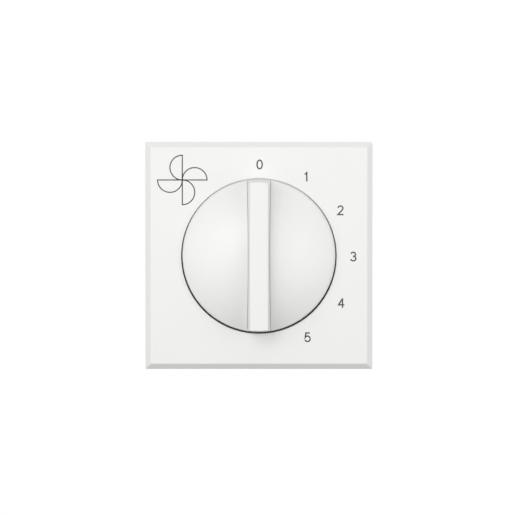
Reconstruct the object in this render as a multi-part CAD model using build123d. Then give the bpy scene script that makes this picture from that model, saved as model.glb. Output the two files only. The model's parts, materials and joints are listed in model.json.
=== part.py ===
from build123d import *
import math
import os

# Rotary fan-speed switch: a 45 mm snap-in wiring module with a bar knob, off and five speeds.
# It is built as it is used, X to the right, Y up and Z out of the wall, with Z = 0 where the rim of the
# face plate bears on the support frame. The last step stands it up: the front then looks along -Y and
# Z points up.

# Face plate
FACE = 45.0              # side of the square
FACE_HEIGHT = 8.0        # front of the plate above the support frame
FACE_WALL = 1.8
FACE_BEVEL = 1.1
EDGE_ROUND = 0.25        # softening of the corners and of the bevel's edges
WELL_DEPTH = 5.5         # round well that the knob turns in
WELL_GAP = 0.12
WELL_ROUND = 0.1         # softening of the mouth of the well
WELL_WALL = 1.6
WELL_FLOOR = 1.8
PLATE_RIB = 1.0          # ribs behind the corners of the plate
PLATE_RIB_DEPTH = 2.6
HOOK_WIDTH = 8.0         # hooks that hold the housing
HOOK_WALL = 1.2
HOOK_BARB = 1.1
HOOK_REACH = 3.2         # how far the hooks go below the rim
HOOK_GRIP = 0.9          # shoulder of the barbs below the rim
HOOK_GAP = 0.15

# Knob
KNOB_D = 30.5            # over the skirt
FLANK_LEAN = 0.3         # how far the flank leans in from the skirt to the rim
FLANK_DEPTH = 0.6        # where the flank starts behind the front of the plate
KNOB_RIM = 1.2           # rim of the knob above the plate
DOME_RISE = 4.0
BAR_RISE = 3.2           # top of the bar above the dome
BAR_WIDTH = 4.0
BAR_DRAFT = 3.0          # degrees on each side of the bar
BAR_ROUND = 0.3
RIM_ROUND = 0.4
KNOB_WALL = 1.6
KNOB_RIB = 1.0           # four ribs from the hub to the skirt
SKIRT_GAP = 0.5          # skirt of the knob to the floor of its well
HUB_D = 10.0
HUB_GAP = 0.6            # hub to the retaining ring, room for the clip's foot
CLIP_SHEET = 0.4         # leaf that grips the flat of the spindle
CLIP_WIDTH = 3.4
CLIP_FOOT = 1.2
CLIP_GAP = 0.08

# Spindle, bush and nut
SPINDLE_D = 6.0
SPINDLE_FLAT = 4.5       # over the D end
TANG_FLAT = 4.4          # across the two flats that drive the star and the rotor
JOURNAL_D = 4.0
RUN = 0.04               # running clearance on a radius
SLIP = 0.05              # clearance on a radius of a bolt, a rivet or a thread
BUSH_D = 10.0
BUSH_PROUD = 0.3         # bush above the nut
NUT_FLATS = 14.0
NUT_HEIGHT = 2.0
NUT_CHAMFER = 0.5
WASHER_D = 17.0
WASHER_SHEET = 0.5
WASHER_TEETH = 12
WASHER_NICK = 0.9
RING_D = 9.2             # retaining ring on the spindle
RING_SHEET = 0.6
RING_GROOVE = 0.55
RING_GAP = 0.1
RING_MOUTH = 4.2
PEG_D = 2.4              # peg that stops the bush from turning in the plate
PEG_AT = 9.5
PEG_LENGTH = 1.5

# Index unit: twelve notches, stops for six positions
STEP_ANGLE = 30.0
STEPS = 5
NOTCHES = 12
INDEX_GAP = 0.85         # index casting to the hooks
INDEX_WALL = 2.2
INDEX_CORNER = 3.0
CUP_WALL = 3.4
STOP_HEIGHT = 1.8
DETENT_HEIGHT = 2.8
COVER_SHEET = 1.0
STAR_D = 14.0
STAR_PLAY = 0.2
NOTCH_DEPTH = 0.9
NOTCH_D = 2.2
STOP_REACH = 10.5        # radius of the stop lug
STOP_HALF = 10.0         # half of the stop lug's angle
STOP_AIR = 0.3           # degrees left at each stop
STOP_REST = 165.0        # where the stop lug stands at 0
SPRING_SHEET = 0.5
SPRING_NOSE = 1.6        # half the width of a nose
SPRING_AIR = 0.35        # arms of the spring to the tips of the star
SPRING_BEND_AT = 3.5
SPRING_END_AT = 9.4
POST_D = 2.6

# Contacts
SPACER = 6.0
SPACER_D = 4.4
STACK_INSET = 2.5        # stack screws from the edge of the index casting
STACK_SCREW_D = 2.5
STACK_HEAD_D = 4.4
STACK_HEAD = 1.8
STACK_BITE = 3.6         # thread length in the casting
PLATE_SHEET = 1.6
ROTOR_D = 24.0
ROTOR_SHEET = 2.0
ROTOR_AIR = 0.9          # rotor to the index cover
WIPER_SHEET = 0.4
WIPER_WIDTH = 3.0
WIPER_AIR = 0.05         # wiper noses over the contact pads
WIPER_ROOT = 1.4
WIPER_LIFT = 0.7
WIPER_TIP = 1.0
WIPER_PEG_D = 1.0
PAD_SHEET = 0.4
PAD_D = 3.2
PAD_AT = 9.0
RING_PAD_AT = 5.5
RING_PAD_WIDTH = 1.8
RIVET_D = 1.6
STRIP_SHEET = 0.8
STRIP_WIDTH = 2.0
TONGUE_WIDTH = 3.0
TONGUE_LENGTH = 6.0      # tongue in its cage
SIDE_RUN_INSET = 4.5     # strips of speeds 1 and 5 from the edge of the contact plate
SIDE_RUN_LOW = -8.6

# Terminals
CAGE = 6.4
CAGE_WALL = 1.2
CAGE_LENGTH = 7.4
CAGE_PITCH = 9.0
CAGE_INSET = 1.0         # cages from the inside of the housing wall
CAGE_GAP = 0.15
CLAMP_D = 3.0
CLAMP_HEAD_D = 5.0
CLAMP_HEAD = 1.8
CLAMP_SINK = 0.4         # head below the outside of the housing
CLAMP_TIP = 0.6
SLOT_WIDTH = 0.7
SLOT_DEPTH = 0.7

# Housing
HOUSING_GAP = 0.7        # housing to the rim of the plate
HOUSING_WALL = 1.8
HOUSING_CORNER = 2.0
HEAD_AIR = 0.5
MID_WALL = 1.6
TERMINAL_DEPTH = 8.4
POCKET_WALL = 1.6
BAY_WIDTH = 7.4          # open bays about the clamp screws, with barriers between them
BAY_DEPTH = 0.8
SNAP_WIDTH = 10.0        # snap lugs
SNAP_SLIT = 1.0
SNAP_LENGTH = 10.8
SNAP_START = 1.2
SNAP_GRIP = 2.2          # thickness of support frame that the lugs take
SNAP_BARB = 1.3
SNAP_RAMP = 4.8
REAR_COVER = 2.4
ENTRY_WIDTH = 3.8        # wire entries
ENTRY_LEAD = 0.6         # bevel that leads the wire in
REAR_BEVEL = 0.5
LIP_WALL = 1.2           # lip of the rear cover inside the housing
LIP_HEIGHT = 1.5
LIP_GAP = 0.15
COVER_SCREW_D = 2.0
COVER_SCREW_LENGTH = 5.0
COVER_HEAD_D = 3.8
COVER_HEAD = 1.2
COVER_SCREW_INSET = 4.7  # cover screws from the outside of the housing

# Levels, from the front to the back
Z_FACE = FACE_HEIGHT
Z_FACE_BACK = Z_FACE - FACE_WALL
Z_RIM = Z_FACE + KNOB_RIM
Z_DOME = Z_RIM + DOME_RISE
Z_BAR = Z_DOME + BAR_RISE
Z_SPINDLE = Z_DOME - KNOB_WALL
Z_FLOOR = Z_FACE - WELL_DEPTH
Z_SKIRT = Z_FLOOR + SKIRT_GAP
Z_SEAT = Z_FLOOR - WELL_FLOOR
Z_WASHER = Z_FLOOR + WASHER_SHEET
Z_NUT = Z_WASHER + NUT_HEIGHT
Z_BUSH = Z_NUT + BUSH_PROUD
Z_RING = Z_BUSH + RING_GAP
Z_HUB = Z_RING + RING_SHEET + HUB_GAP
Z_CAVITY = Z_SEAT - INDEX_WALL
Z_STOP = Z_CAVITY - STOP_HEIGHT
Z_CUP = Z_STOP - DETENT_HEIGHT
Z_COVER = Z_CUP - COVER_SHEET
Z_ROTOR = Z_COVER - ROTOR_AIR
Z_ROTOR_BACK = Z_ROTOR - ROTOR_SHEET
Z_PLATE = Z_COVER - SPACER
Z_PAD = Z_PLATE + PAD_SHEET
Z_PLATE_BACK = Z_PLATE - PLATE_SHEET
Z_STRIP = Z_PLATE_BACK - STRIP_SHEET
Z_STACK_HEAD = Z_PLATE_BACK - STACK_HEAD
Z_WALL = Z_STACK_HEAD - HEAD_AIR
Z_WALL_BACK = Z_WALL - MID_WALL
Z_HOUSING = Z_WALL_BACK - TERMINAL_DEPTH
Z_REAR = Z_HOUSING - REAR_COVER
Z_CLAMP = Z_WALL_BACK - CAGE_LENGTH / 2

# Widths that follow from those above
KNOB_R = KNOB_D / 2
RIM_R = KNOB_R - FLANK_LEAN
WELL_R = KNOB_R + WELL_GAP
HOUSING_OUT = FACE - 2 * (FACE_WALL + HOUSING_GAP)
HOUSING_IN = HOUSING_OUT - 2 * HOUSING_WALL
HOOK_OUTER = HOUSING_IN / 2 - HOOK_GAP
HOOK_INNER = HOOK_OUTER - HOOK_WALL
INDEX_SIZE = 2 * (HOOK_INNER - INDEX_GAP)
CAVITY_R = INDEX_SIZE / 2 - CUP_WALL
STACK_AT = INDEX_SIZE / 2 - STACK_INSET
SIDE_RUN_AT = INDEX_SIZE / 2 - SIDE_RUN_INSET
SPINDLE_R = SPINDLE_D / 2
FLAT_AT = SPINDLE_FLAT - SPINDLE_R
STAR_R = STAR_D / 2
CAGE_Y = HOUSING_IN / 2 - CAGE_INSET - CAGE / 2
CAGE_OPEN = CAGE - 2 * CAGE_WALL
TONGUE_Y = CAGE_Y - CAGE_OPEN / 2 + STRIP_SHEET / 2
ENTRY_Y = CAGE_Y + STRIP_SHEET / 2
ENTRY_HEIGHT = CAGE_OPEN - STRIP_SHEET
MIDDLE_HEIGHT = 2 * (CAGE_Y - CAGE / 2 - CAGE_GAP - POCKET_WALL)  # hollow between the two rows of terminals
COVER_SCREW_AT = HOUSING_OUT / 2 - COVER_SCREW_INSET
CLAMP_TOP = HOUSING_OUT / 2 - CLAMP_SINK
SWEEP = STEPS * STEP_ANGLE
CUT = 2 * FACE           # a length that is sure to pass through the whole switch

CORNERS = [(1, 1), (-1, 1), (-1, -1), (1, -1)]
TERMINALS = [(column * CAGE_PITCH, row) for row in (1, -1) for column in (-1, 0, 1)]


def slab(outline, low, high):
    """The outline as a solid from one level to another."""
    return extrude(Pos(0, 0, low) * outline, amount=high - low)


def drum(radius, low, high, at=(0, 0)):
    """A cylinder along Z from one level to another."""
    return slab(Pos(*at) * Circle(radius), low, high)


def tube(outer, inner, low, high, at=(0, 0)):
    """A tube along Z from one level to another."""
    return slab(Pos(*at) * (Circle(outer) - Circle(inner)), low, high)


def block(x_range, y_range, z_range):
    """A box between two places on each axis."""
    low = Vector(x_range[0], y_range[0], z_range[0])
    size = Vector(x_range[1], y_range[1], z_range[1]) - low
    return Pos(*low) * Box(size.X, size.Y, size.Z, align=Align.MIN)


def sector(inner, outer, start, span):
    """A piece of a ring, as a flat outline."""
    outside = CenterArc((0, 0), outer, start, span)
    inside = CenterArc((0, 0), inner, start, span)
    return make_face([outside, inside, Line(outside @ 0, inside @ 0), Line(outside @ 1, inside @ 1)])


def band(points, thickness):
    """A strip of even thickness along a bent line, as a flat outline with round corners."""
    outline = Sketch()
    for start, end in zip(points, points[1:]):
        run = Vector(*end) - Vector(*start)
        middle = (Vector(*end) + Vector(*start)) / 2
        turn = math.degrees(math.atan2(run.Y, run.X))
        outline += Pos(middle.X, middle.Y) * Rot(0, 0, turn) * SlotCenterToCenter(run.length, thickness)
    return outline


def around(radius, degrees):
    """The point at an angle on a circle about the spindle."""
    return radius * math.cos(math.radians(degrees)), radius * math.sin(math.radians(degrees))


def tang(low, high, clearance=0.0):
    """The length of spindle with two flats, or the hole that takes it."""
    flats = Rectangle(TANG_FLAT + 2 * clearance, SPINDLE_D + 1)
    return slab(flats & Circle(SPINDLE_R + clearance), low, high)


def wedge(points, half_width, plane):
    """A prism on both sides of a plane through the spindle, such as the ramp of a barb."""
    return extrude(plane * make_face(Polyline(*points, close=True)), amount=half_width, both=True)


# Front pieces


def face_plate():
    """Square plate with a bevelled rim, hollow behind, with the knob's well and the housing's hooks."""
    body = slab(Rectangle(FACE, FACE), 0, Z_FACE)
    body = chamfer(body.faces().sort_by(Axis.Z)[-1].edges(), FACE_BEVEL)
    body = fillet(body.edges().filter_by_position(Axis.Z, SLIP, Z_FACE), EDGE_ROUND)
    inside = FACE - 2 * FACE_WALL
    body -= slab(Rectangle(inside, inside), 0, Z_FACE_BACK)
    body += drum(WELL_R + WELL_WALL, Z_SEAT, Z_FACE_BACK)
    body += plate_ribs()
    body -= drum(WELL_R, Z_FLOOR, Z_FACE)
    mouth = body.edges().filter_by(GeomType.CIRCLE).filter_by_position(Axis.Z, Z_FACE - SLIP, Z_FACE + SLIP)
    body = fillet(mouth, WELL_ROUND)
    body -= drum(BUSH_D / 2 + SLIP, Z_SEAT, Z_FLOOR)
    body -= drum(PEG_D / 2 + SLIP, Z_SEAT, Z_FLOOR, (0, PEG_AT))
    half = HOOK_WIDTH / 2
    hook = block((HOOK_INNER, HOOK_OUTER), (-half, half), (-HOOK_REACH, Z_FACE_BACK))
    ramp = [(HOOK_OUTER, -HOOK_GRIP), (HOOK_OUTER + HOOK_BARB, -HOOK_GRIP), (HOOK_OUTER, -HOOK_REACH)]
    hook += wedge(ramp, half, Plane.XZ)
    hook -= drum(WELL_R, Z_FLOOR, Z_FACE)
    return body + hook + mirror(hook, Plane.YZ)


def plate_ribs():
    """Ribs from the wall of the well into the four corners, short of the housing that stands there."""
    reach = (HOUSING_IN / 2 - HOUSING_GAP) * math.sqrt(2) - PLATE_RIB / 2
    rib = block((0, reach), (-PLATE_RIB / 2, PLATE_RIB / 2), (Z_FACE_BACK - PLATE_RIB_DEPTH, Z_FACE_BACK))
    return [place * rib for place in PolarLocations(0, len(CORNERS), start_angle=45)]


def dome(side, top):
    """A round solid with a spherical top: its side is a line from its bottom to its rim."""
    radius, rim = side[-1]
    rise = top - rim
    sphere = (radius**2 + rise**2) / (2 * rise)
    half_turn = math.asin(radius / sphere) / 2
    middle = (sphere * math.sin(half_turn), top - sphere + sphere * math.cos(half_turn))
    below = Polyline((0, top), (0, side[0][1]), *side)
    profile = make_face([below, ThreePointArc((radius, rim), middle, (0, top))])
    return revolve(Plane.XZ * profile, Axis.Z)


def finger_bar():
    """The bar right across the dome, narrower towards its top."""
    slope = math.tan(math.radians(BAR_DRAFT))
    height = Z_BAR - Z_FACE
    lean = height * slope
    half = BAR_WIDTH / 2
    section = [(half, Z_BAR), (-half, Z_BAR), (-half - lean, Z_FACE), (half + lean, Z_FACE)]
    bar = wedge(section, KNOB_R, Plane.XZ)
    base = RIM_R + KNOB_RIM * slope
    from_base = (Align.CENTER, Align.CENTER, Align.MIN)
    bar &= Pos(0, 0, Z_FACE) * Cone(base, base - lean, height, align=from_base)
    return fillet(bar.faces().sort_by(Axis.Z)[-1].edges(), BAR_ROUND)


def knob():
    """Domed knob with its finger bar, a skirt in the well and a ribbed hub with a D bore."""
    shell = dome([(KNOB_R, Z_SKIRT), (KNOB_R, Z_FACE - FLANK_DEPTH), (RIM_R, Z_RIM)], Z_DOME)
    rim = shell.edges().filter_by(GeomType.CIRCLE).filter_by_position(Axis.Z, Z_RIM - SLIP, Z_RIM + SLIP)
    inner = KNOB_R - KNOB_WALL
    hollow = dome([(inner, Z_SKIRT), (inner, Z_RIM - KNOB_WALL)], Z_DOME - KNOB_WALL)
    half = KNOB_RIB / 2
    ribs = block((-KNOB_R, KNOB_R), (-half, half), (Z_HUB, Z_DOME))
    ribs += block((-half, half), (-KNOB_R, KNOB_R), (Z_HUB, Z_DOME))
    inside = (ribs + drum(HUB_D / 2, Z_HUB, Z_DOME)) & hollow
    shell = fillet(rim, RIM_ROUND) + finger_bar() - hollow + inside
    pocket = FLAT_AT + CLIP_SHEET + 2 * CLIP_GAP
    bore = Circle(SPINDLE_R + RUN) & block_outline(SPINDLE_D + 1, -SPINDLE_D, FLAT_AT + CLIP_GAP)
    bore += block_outline(CLIP_WIDTH + 2 * CLIP_GAP, 0, pocket)
    return shell - slab(bore, Z_HUB, Z_SPINDLE)


def block_outline(width, low, high):
    """A flat rectangle centred on X between two heights."""
    return Pos(0, (low + high) / 2) * Rectangle(width, high - low)


def knob_clip():
    """Leaf spring on the flat of the spindle, with a foot under the knob's hub."""
    half = CLIP_WIDTH / 2
    leaf = (FLAT_AT + CLIP_GAP, FLAT_AT + CLIP_GAP + CLIP_SHEET)
    foot_low = Z_HUB - CLIP_GAP - CLIP_SHEET
    clip = block((-half, half), leaf, (foot_low, Z_SPINDLE - CLIP_GAP))
    return clip + block((-half, half), (leaf[0], leaf[0] + CLIP_FOOT), (foot_low, Z_HUB - CLIP_GAP))


def bush_nut():
    """Thin hexagon nut."""
    corner = NUT_FLATS / math.sqrt(3)
    hexagon = slab(RegularPolygon(corner, 6), Z_WASHER, Z_NUT)
    blank = drum(corner, Z_WASHER, Z_NUT)
    nut = hexagon & chamfer(blank.edges().sort_by(Axis.Z)[-1:], NUT_CHAMFER)
    return nut - drum(BUSH_D / 2 + SLIP, Z_WASHER, Z_NUT)


def tooth_washer():
    """Lock washer with teeth round its outside."""
    washer = tube(WASHER_D / 2, BUSH_D / 2 + 2 * SLIP, Z_FLOOR, Z_WASHER)
    for place in PolarLocations(WASHER_D / 2, WASHER_TEETH):
        washer -= place * Pos(0, 0, Z_FLOOR) * Cylinder(WASHER_NICK, 3 * WASHER_SHEET)
    return washer


# Spindle and index unit


def spindle():
    """Turned shaft: D end, groove, journal, two-flat tang and rear journal."""
    front = chamfer(drum(SPINDLE_R, Z_CAVITY, Z_SPINDLE).edges().sort_by(Axis.Z)[-1:], CLIP_SHEET)
    front -= block((-CUT, CUT), (FLAT_AT, CUT), (Z_RING + RING_SHEET + RING_GAP, Z_SPINDLE))
    front -= tube(SPINDLE_D, SPINDLE_R - RING_GROOVE, Z_RING, Z_RING + RING_SHEET)
    return front + tang(Z_ROTOR_BACK, Z_CAVITY) + drum(JOURNAL_D / 2, Z_STRIP, Z_ROTOR_BACK)


def spindle_ring():
    """Open retaining ring in the groove of the spindle."""
    ring = tube(RING_D / 2, SPINDLE_R - RING_GROOVE + SLIP, Z_RING, Z_RING + RING_SHEET)
    return ring - block((-RING_MOUTH / 2, RING_MOUTH / 2), (-CUT, 0), (Z_RING, Z_RING + RING_SHEET))


def index_bush():
    """Die casting: threaded bush, square cup with a round cavity, stop segment and spring post."""
    square = RectangleRounded(INDEX_SIZE, INDEX_SIZE, INDEX_CORNER)
    cup = slab(square, Z_CUP, Z_SEAT) - drum(CAVITY_R, Z_CUP, Z_CAVITY)
    start = STOP_REST + STOP_HALF + STOP_AIR
    span = 360 - SWEEP - 2 * (STOP_HALF + STOP_AIR)
    cup += slab(sector(STAR_R, CAVITY_R + SLIP, start, span), Z_STOP, Z_CAVITY)
    cup += drum(POST_D / 2, Z_CUP + STAR_PLAY, Z_STOP, (post_at(), 0))
    cup += drum(BUSH_D / 2, Z_SEAT, Z_BUSH) + drum(PEG_D / 2, Z_SEAT, Z_SEAT + PEG_LENGTH, (0, PEG_AT))
    for x, y in CORNERS:
        cup -= drum(STACK_SCREW_D / 2 + SLIP, Z_CUP, Z_CUP + STACK_BITE, (x * STACK_AT, y * STACK_AT))
    return cup - drum(SPINDLE_R + RUN, Z_CAVITY, Z_BUSH)


def spring_arm_at():
    """Height of the index spring's arms above the spindle."""
    return STAR_R + SPRING_AIR + SPRING_SHEET / 2


def post_at():
    """Where the post stands that holds the bend of the index spring."""
    return SPRING_BEND_AT + spring_arm_at() - SPRING_SHEET / 2 - POST_D / 2 - SLIP


def index_star():
    """Detent wheel with twelve notches, and in front the stop lug, which passes over the spring's post."""
    star = drum(STAR_R, Z_CUP + STAR_PLAY, Z_STOP - STAR_PLAY)
    notch_at = STAR_R - NOTCH_DEPTH + NOTCH_D / 2
    for place in PolarLocations(notch_at, NOTCHES):
        star -= place * Pos(0, 0, Z_CUP) * Cylinder(NOTCH_D / 2, CUT)
    lug = sector(SPINDLE_R, STOP_REACH, STOP_REST - STOP_HALF, 2 * STOP_HALF)
    collar = Circle(STAR_R - NOTCH_DEPTH - STAR_PLAY)
    root = collar + (lug & Circle(STAR_R - STAR_PLAY))
    star += slab(root, Z_STOP - STAR_PLAY, Z_CAVITY - STAR_PLAY)
    star += slab(lug, Z_STOP + STAR_PLAY, Z_CAVITY - STAR_PLAY)
    return star - tang(Z_CUP, Z_CAVITY, RUN)


def index_spring():
    """U-shaped leaf spring about the star, with a nose in a notch on each arm."""
    arm = spring_arm_at()
    nose = STAR_R - NOTCH_DEPTH + SPRING_SHEET / 2 + 3 * SLIP
    points = [(SPRING_BEND_AT, arm), (SPRING_NOSE, arm), (0, nose)]
    points += [(-SPRING_NOSE, arm), (-SPRING_END_AT, arm)]
    upper = band(points, SPRING_SHEET)
    bend = sector(arm - SPRING_SHEET / 2, arm + SPRING_SHEET / 2, -90, 180)
    outline = upper + mirror(upper, Plane.XZ) + Pos(SPRING_BEND_AT, 0) * bend
    return slab(outline, Z_CUP + STAR_PLAY, Z_STOP - STAR_PLAY)


def index_cover():
    """Sheet cover of the index cup."""
    cover = slab(RectangleRounded(INDEX_SIZE, INDEX_SIZE, INDEX_CORNER), Z_COVER, Z_CUP)
    cover -= drum(SPINDLE_R + 2 * SLIP, Z_COVER, Z_CUP)
    for x, y in CORNERS:
        cover -= drum(STACK_SCREW_D / 2 + SLIP, Z_COVER, Z_CUP, (x * STACK_AT, y * STACK_AT))
    return cover


# Contacts


def spacers():
    """Four tubes that hold the contact plate off the index unit."""
    bore = STACK_SCREW_D / 2 + SLIP
    return [tube(SPACER_D / 2, bore, Z_PLATE, Z_COVER, (x * STACK_AT, y * STACK_AT)) for x, y in CORNERS]


def rotor():
    """Moulded disc on the tang of the spindle, with the pegs that carry the wiper."""
    disc = drum(ROTOR_D / 2, Z_ROTOR_BACK, Z_ROTOR) - tang(Z_ROTOR_BACK, Z_ROTOR, RUN)
    return disc + drum(WIPER_PEG_D / 2, Z_ROTOR_BACK - 2 * WIPER_SHEET, Z_ROTOR_BACK, (-wiper_root_at(), 0))


def wiper_root_at():
    """The wiper is fixed half-way between the ring contact and the pads."""
    return (PAD_AT + RING_PAD_AT) / 2


def wiper():
    """Bridging blade: one nose on the ring contact and one on the circle of pads."""
    high = Z_ROTOR_BACK - WIPER_SHEET / 2
    low = Z_PAD + WIPER_AIR + WIPER_SHEET / 2
    root = wiper_root_at()
    half = [(root, high), (root + WIPER_ROOT / 2, high)]
    half += [(PAD_AT, low), (PAD_AT + WIPER_TIP, low + WIPER_LIFT)]
    other = [(2 * root - x, z) for x, z in half]
    outline = band(half, WIPER_SHEET) + band(other, WIPER_SHEET)
    blade = extrude(Plane.XZ * outline, amount=WIPER_WIDTH / 2, both=True)
    blade -= drum(WIPER_PEG_D / 2 + SLIP, Z_PAD, Z_ROTOR_BACK, (root, 0))
    return Rot(0, 0, 180) * blade


def pad_angle(speed):
    """Angle of a speed's pad: off is at 180 degrees and the speeds follow clockwise."""
    return 180 - speed * STEP_ANGLE


def contact_plate():
    """Insulating board with holes for the rivets, the screws and the spindle's journal."""
    plate = slab(RectangleRounded(INDEX_SIZE, INDEX_SIZE, INDEX_CORNER), Z_PLATE_BACK, Z_PLATE)
    plate -= drum(JOURNAL_D / 2 + RUN, Z_PLATE_BACK, Z_PLATE)
    rivets = [around(PAD_AT, pad_angle(speed)) for speed in range(1, STEPS + 1)] + [(0, -RING_PAD_AT)]
    for place in rivets:
        plate -= drum(RIVET_D / 2 + SLIP, Z_PLATE_BACK, Z_PLATE, place)
    for x, y in CORNERS:
        plate -= drum(STACK_SCREW_D / 2 + SLIP, Z_PLATE_BACK, Z_PLATE, (x * STACK_AT, y * STACK_AT))
    return plate


def tail(points):
    """Strip behind the contact plate from a rivet to a terminal, with the tongue in the cage."""
    end_x, end_y = points[-1]
    strip = slab(band(points, STRIP_WIDTH), Z_STRIP, Z_PLATE_BACK)
    half = (TONGUE_WIDTH / 2, STRIP_SHEET / 2)
    x_range = (end_x - half[0], end_x + half[0])
    y_range = (end_y - half[1], end_y + half[1])
    return strip + block(x_range, y_range, (Z_WALL_BACK - TONGUE_LENGTH, Z_PLATE_BACK))


def step_contact(speed):
    """Fixed contact of one speed: pad, rivet, strip and tongue."""
    at = around(PAD_AT, pad_angle(speed))
    side = math.copysign(1, speed - (STEPS + 1) / 2)
    if speed in (1, STEPS):
        bend = [(side * SIDE_RUN_AT, at[1]), (side * SIDE_RUN_AT, SIDE_RUN_LOW)]
        bend.append((side * CAGE_PITCH, -TONGUE_Y))
    elif at[0] ** 2 < SLIP:
        bend = [(0, TONGUE_Y)]
    else:
        bend = [(side * CAGE_PITCH, TONGUE_Y)]
    pad = drum(PAD_D / 2, Z_PLATE, Z_PAD, at) + drum(RIVET_D / 2, Z_PLATE_BACK, Z_PLATE, at)
    return pad + tail([at, *bend])


def common_contact():
    """Ring contact of the live terminal, with its rivet, strip and tongue."""
    half = RING_PAD_WIDTH / 2
    ring = tube(RING_PAD_AT + half, RING_PAD_AT - half, Z_PLATE, Z_PAD)
    ring += drum(RIVET_D / 2, Z_PLATE_BACK, Z_PLATE, (0, -RING_PAD_AT))
    return ring + tail([(0, -RING_PAD_AT), (0, -TONGUE_Y)])


def stack_screws():
    """Four long screws through the contact plate and the spacers into the casting."""
    screws = []
    for x, y in CORNERS:
        at = (x * STACK_AT, y * STACK_AT)
        screw = drum(STACK_SCREW_D / 2, Z_PLATE_BACK, Z_CUP + STACK_BITE - SLIP, at)
        screw += drum(STACK_HEAD_D / 2, Z_STACK_HEAD, Z_PLATE_BACK, at)
        slot = Pos(*at) * Rectangle(STACK_HEAD_D + 1, SLOT_WIDTH)
        screws.append(screw - slab(slot, Z_STACK_HEAD, Z_STACK_HEAD + SLOT_DEPTH))
    return screws


# Terminals, housing and rear cover


def clamp_drum(radius, low, high):
    """A cylinder along Y about the axis of a clamp screw of the top row."""
    return Pos(0, low, Z_CLAMP) * Rot(-90, 0, 0) * drum(radius, 0, high - low)


def for_each_terminal(piece):
    """Copies of a piece of the top row's middle terminal at all six terminals."""
    below = Rot(0, 0, 180) * piece
    return [Pos(x, 0, 0) * (piece if row > 0 else below) for x, row in TERMINALS]


def terminal_cages():
    """Six box clamps, open along the wire, with a tapped hole in the outer wall."""
    profile = Rectangle(CAGE, CAGE) - Rectangle(CAGE_OPEN, CAGE_OPEN)
    cage = slab(Pos(0, CAGE_Y) * profile, Z_WALL_BACK - CAGE_LENGTH, Z_WALL_BACK)
    return for_each_terminal(cage - clamp_drum(CLAMP_D / 2 + SLIP, CAGE_Y, CAGE_Y + CAGE))


def terminal_screws():
    """Six clamp screws, turned from the top and bottom of the housing."""
    shoulder = CLAMP_TOP - CLAMP_HEAD
    tip = CAGE_Y + CAGE_OPEN / 2 - CLAMP_TIP
    screw = clamp_drum(CLAMP_D / 2, tip, shoulder) + clamp_drum(CLAMP_HEAD_D / 2, shoulder, CLAMP_TOP)
    half = SLOT_WIDTH / 2
    slot = (CLAMP_TOP - SLOT_DEPTH, CLAMP_TOP)
    return for_each_terminal(screw - block((-CAGE, CAGE), slot, (Z_CLAMP - half, Z_CLAMP + half)))


def snap_lug():
    """Ramp of the top snap lug, whose shoulder holds the support frame against the plate's rim."""
    out = HOUSING_OUT / 2
    low = -SNAP_GRIP - SNAP_RAMP
    root = out - SNAP_BARB
    ramp = [(out + SNAP_BARB, -SNAP_GRIP), (out, low), (root, low), (root, -SNAP_GRIP)]
    return wedge(ramp, SNAP_WIDTH / 2, Plane.YZ)


def snap_slits():
    """Cuts that free the tongue of the top snap lug on three sides."""
    inner, outer = SNAP_WIDTH / 2, SNAP_WIDTH / 2 + SNAP_SLIT
    through = (HOUSING_IN / 2 - HOUSING_WALL, CUT)
    sides = (-SNAP_START - SNAP_LENGTH, -SNAP_START + SNAP_SLIT)
    slits = block((-outer, outer), through, (-SNAP_START, -SNAP_START + SNAP_SLIT))
    return slits + block((-outer, -inner), through, sides) + block((inner, outer), through, sides)


def housing():
    """Moulded body: open front for the switch, middle wall, terminal pockets with their bays, snap lugs."""
    body = slab(RectangleRounded(HOUSING_OUT, HOUSING_OUT, HOUSING_CORNER), Z_HOUSING, Z_FACE_BACK)
    body -= slab(Rectangle(HOUSING_IN, HOUSING_IN), Z_WALL, Z_FACE_BACK)
    body -= slab(Rectangle(HOUSING_IN, MIDDLE_HEIGHT), Z_HOUSING, Z_WALL_BACK)
    window = HOOK_WIDTH / 2 + 2 * HOOK_GAP
    body -= block((-CUT, CUT), (-window, window), (-HOOK_REACH - HOOK_GAP, -HOOK_GRIP + SLIP))
    size = CAGE + 2 * CAGE_GAP
    pocket = slab(Pos(0, CAGE_Y) * Rectangle(size, size), Z_HOUSING, Z_WALL_BACK)
    pocket += clamp_drum(CLAMP_HEAD_D / 2 + 2 * CAGE_GAP, CAGE_Y, HOUSING_OUT / 2)
    slot = Rectangle(TONGUE_WIDTH + 2 * CAGE_GAP, STRIP_SHEET + 2 * CAGE_GAP)
    pocket += slab(Pos(0, TONGUE_Y) * slot, Z_WALL_BACK, Z_WALL)
    bay = (HOUSING_OUT / 2 - BAY_DEPTH, CUT)
    pocket += block((-BAY_WIDTH / 2, BAY_WIDTH / 2), bay, (Z_HOUSING, Z_WALL_BACK))
    for hollow in for_each_terminal(pocket):
        body -= hollow
    for x, y in CORNERS:
        at = (x * COVER_SCREW_AT, y * COVER_SCREW_AT)
        body -= drum(COVER_SCREW_D / 2 + SLIP, Z_HOUSING, Z_HOUSING + COVER_SCREW_LENGTH, at)
    lug, slits = snap_lug(), snap_slits()
    for turn in (Rot(0, 0, 0), Rot(0, 0, 180)):
        body = body + turn * lug - turn * slits
    return body


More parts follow.
